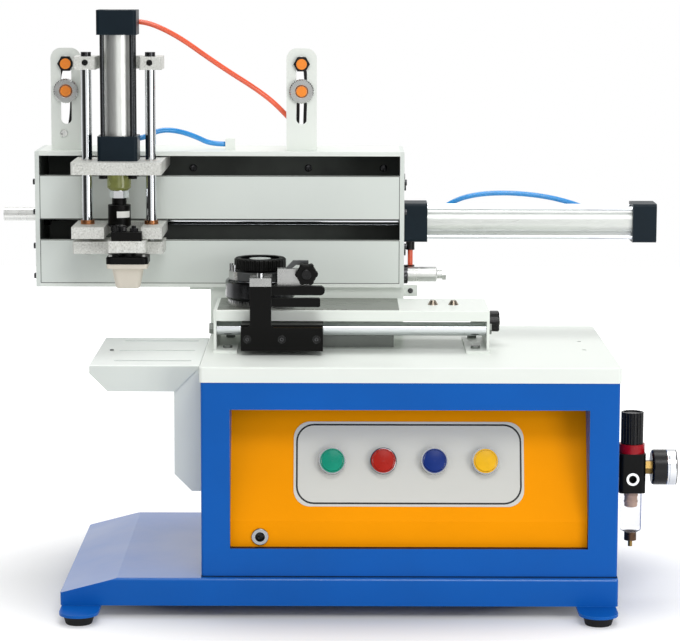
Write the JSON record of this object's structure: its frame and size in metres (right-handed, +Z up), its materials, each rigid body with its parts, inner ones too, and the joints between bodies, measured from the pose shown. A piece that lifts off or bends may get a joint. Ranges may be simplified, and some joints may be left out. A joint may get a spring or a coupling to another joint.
{
  "type": "pad printing machine",
  "caption": "Pneumatic bench pad printer: cabinet with button panel, sealed ink cup on a printing bed, sliding head with a pad on a vertical cylinder.",
  "frame": {"origin": "centre of the whole machine's footprint, on the table under the feet", "axes": "+X to the right seen from the panel side, along the head's travel, +Y to the back, +Z up"},
  "size_m": [0.762, 0.4238, 0.6455],
  "materials": {
    "rubber": "matt",
    "blue_paint": "satin powder coat",
    "white_paint": "satin powder coat, slightly green white",
    "orange_paint": "satin powder coat",
    "label": "satin film with a thin dark outline",
    "chrome": "polished",
    "bright_steel": "turned, bright",
    "button_green": "gloss",
    "button_red": "gloss",
    "button_blue": "gloss",
    "button_yellow": "gloss",
    "aluminium": "natural, sand-blasted",
    "satin_metal": "satin",
    "polished_steel": "polished, dark with ink",
    "steel": "ground, dark",
    "black_anodised": "black anodised",
    "cap_paint": "dark navy satin",
    "black_plastic": "satin",
    "bronze": "turned, coppery",
    "silicone": "matt",
    "sensor_orange": "gloss",
    "bowl": "clear",
    "tube_orange": "gloss",
    "tube_blue": "gloss"
  },
  "bodies": {
    "frame": {"rubber_feet": "rubber", "base_frame": "blue_paint", "cabinet_shell": "blue_paint", "rear_panel": "blue_paint", "cabinet_lid": "white_paint", "control_panel": "orange_paint", "label_plate": "label", "button_bodies": "chrome", "pedal_socket": "chrome", "work_tray": "white_paint", "tray_bracket": "white_paint", "bed_top": "white_paint", "bed_supports": "white_paint", "printing_plate": "steel", "guide_rod": "chrome", "bed_screws": "chrome", "head_end_plates": "white_paint", "head_front_plates": "white_paint", "head_casing": "white_paint", "carriage_rails": "chrome", "end_stops": "bright_steel", "pedestal": "white_paint", "x_cylinder_caps": "cap_paint", "x_cylinder_barrel": "aluminium", "sensor_brackets": "white_paint", "position_sensors": "sensor_orange", "regulator_body": "black_plastic", "regulator_bowl": "bowl", "pressure_gauge": "chrome", "air_fittings": "black_plastic", "tube_x_right": "tube_blue", "tube_x_left": "tube_orange"},
    "head_carriage": {"carriage_block": "aluminium", "carriage_plates": "aluminium", "carriage_bushings": "bronze", "z_cylinder_caps": "cap_paint", "z_cylinder_barrel": "aluminium", "x_piston_rod": "chrome", "tube_z_top": "tube_orange", "tube_z_bottom": "tube_blue"},
    "pad_unit": {"pad_guide_rods": "chrome", "rod_clamp_bar": "aluminium", "pad_plate": "aluminium", "z_piston_rod": "chrome", "rod_coupler": "black_anodised", "pad_mount": "black_anodised", "silicone_pad": "silicone"},
    "cup_carriage": {"slide_block": "black_anodised", "cup_arm": "black_anodised", "cup_yoke": "satin_metal", "ink_cup": "polished_steel", "cup_cap": "black_anodised", "cup_fittings": "chrome"},
    "button_green": {"button_green": "button_green"},
    "button_red": {"button_red": "button_red"},
    "button_blue": {"button_blue": "button_blue"},
    "button_yellow": {"button_yellow": "button_yellow"},
    "cup_knob": {"cup_knob": "black_plastic"},
    "bed_knob": {"bed_knob": "black_plastic"},
    "regulator_knob": {"regulator_knob": "black_plastic"}
  },
  "joints": [
    {"name": "head_slide", "type": "slide", "parent": "frame", "child": "head_carriage", "axis": [1, 0, 0], "range_m": [0, 0.18], "deforming": ["tube_z_top", "tube_z_bottom"]},
    {"name": "pad_lift", "type": "slide", "parent": "head_carriage", "child": "pad_unit", "axis": [0, 0, 1], "range_m": [-0.07, 0]},
    {"name": "cup_slide", "type": "slide", "parent": "frame", "child": "cup_carriage", "axis": [1, 0, 0], "range_m": [0, 0.11]},
    {"name": "green_button_press", "type": "slide", "parent": "frame", "child": "button_green", "axis": [0, 0.9483, -0.3173], "range_m": [0, 0.003], "stiffness_N_per_m": 600, "springref_m": -0.0005},
    {"name": "red_button_press", "type": "slide", "parent": "frame", "child": "button_red", "axis": [0, 0.9483, -0.3173], "range_m": [0, 0.003], "stiffness_N_per_m": 600, "springref_m": -0.0005},
    {"name": "blue_button_press", "type": "slide", "parent": "frame", "child": "button_blue", "axis": [0, 0.9483, -0.3173], "range_m": [0, 0.003], "stiffness_N_per_m": 600, "springref_m": -0.0005},
    {"name": "yellow_button_press", "type": "slide", "parent": "frame", "child": "button_yellow", "axis": [0, 0.9483, -0.3173], "range_m": [0, 0.003], "stiffness_N_per_m": 600, "springref_m": -0.0005},
    {"name": "cup_knob_turn", "type": "hinge", "parent": "cup_carriage", "child": "cup_knob", "pos_m": [-0.026, -0.066, 0.361], "axis": [0, -1, 0], "range_deg": [-360, 0]},
    {"name": "bed_knob_turn", "type": "hinge", "parent": "frame", "child": "bed_knob", "pos_m": [0.176, 0.008, 0.2985], "axis": [1, 0, 0], "range_deg": [0, 360]},
    {"name": "regulator_knob_turn", "type": "hinge", "parent": "frame", "child": "regulator_knob", "pos_m": [0.3325, -0.078, 0.1753], "axis": [0, 0, 1], "range_deg": [-720, 720]}
  ],
  "couplings": [
    {"joint": "cup_slide", "follows": "head_slide", "ratio": 0.6111}
  ]
}
